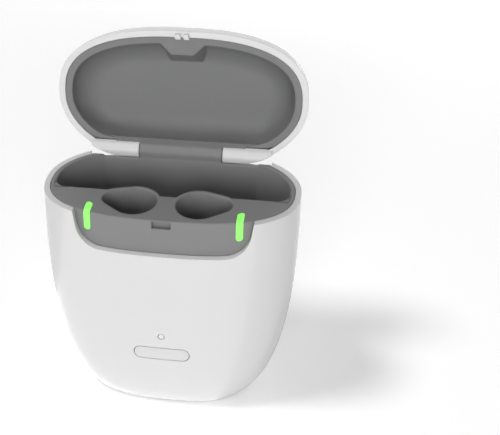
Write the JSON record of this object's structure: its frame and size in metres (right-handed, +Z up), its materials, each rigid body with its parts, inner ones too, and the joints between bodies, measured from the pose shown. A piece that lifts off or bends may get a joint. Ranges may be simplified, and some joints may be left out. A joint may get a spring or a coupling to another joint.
{
  "type": "hearing aid charger",
  "caption": "White oval desk-top charger for a pair of hearing aids, with a hinged domed lid, a grey tray with two pockets, two green light bars and a front button.",
  "frame": {"origin": "centre of the foot pad's underside, where the charger stands on the table", "axes": "+X to the right as seen from the front, +Y to the back where the lid is hinged, +Z up"},
  "size_m": [0.0842, 0.0574, 0.1192],
  "materials": {
    "white_plastic": "satin",
    "grey_plastic": "matte",
    "light_bar": "gloss",
    "light_guide": "gloss",
    "lamp_body": "gloss",
    "board_green": "satin",
    "coil_copper": "satin",
    "screw_steel": "satin",
    "magnet_nickel": "gloss",
    "dark_plastic": "matte",
    "battery_foil": "satin",
    "pad_rubber": "matte"
  },
  "bodies": {
    "base": {"outer_shell": "white_plastic", "base_plate": "white_plastic", "base_screws": "screw_steel", "foot_pad": "pad_rubber", "charging_tray": "grey_plastic", "left_light_bar": "light_bar", "right_light_bar": "light_bar", "side_lamps": "lamp_body", "charging_board": "board_green", "left_charging_coil": "coil_copper", "right_charging_coil": "coil_copper", "tray_screws": "screw_steel", "tray_magnet": "magnet_nickel", "button_switch": "screw_steel", "status_light": "light_guide", "status_lamp": "lamp_body", "front_board": "board_green", "front_screws": "screw_steel", "main_board": "board_green", "power_socket": "screw_steel", "battery_cradle": "dark_plastic", "cradle_screws": "screw_steel", "battery_cell": "battery_foil"},
    "lid": {"lid_shell": "white_plastic", "lid_liner": "grey_plastic", "lid_magnet": "magnet_nickel", "hinge_pin": "screw_steel"},
    "button": {"front_button": "white_plastic", "switch_plunger": "dark_plastic"}
  },
  "joints": [
    {"name": "lid_hinge", "type": "hinge", "parent": "base", "child": "lid", "pos_m": [0, 0.01863, 0.07726], "axis": [1, 0, 0], "range_deg": [0, 101]},
    {"name": "button_press", "type": "slide", "parent": "base", "child": "button", "axis": [0, 1, 0], "range_m": [0, 0.0005], "stiffness_N_per_m": 1500, "springref_m": -0.0007}
  ]
}
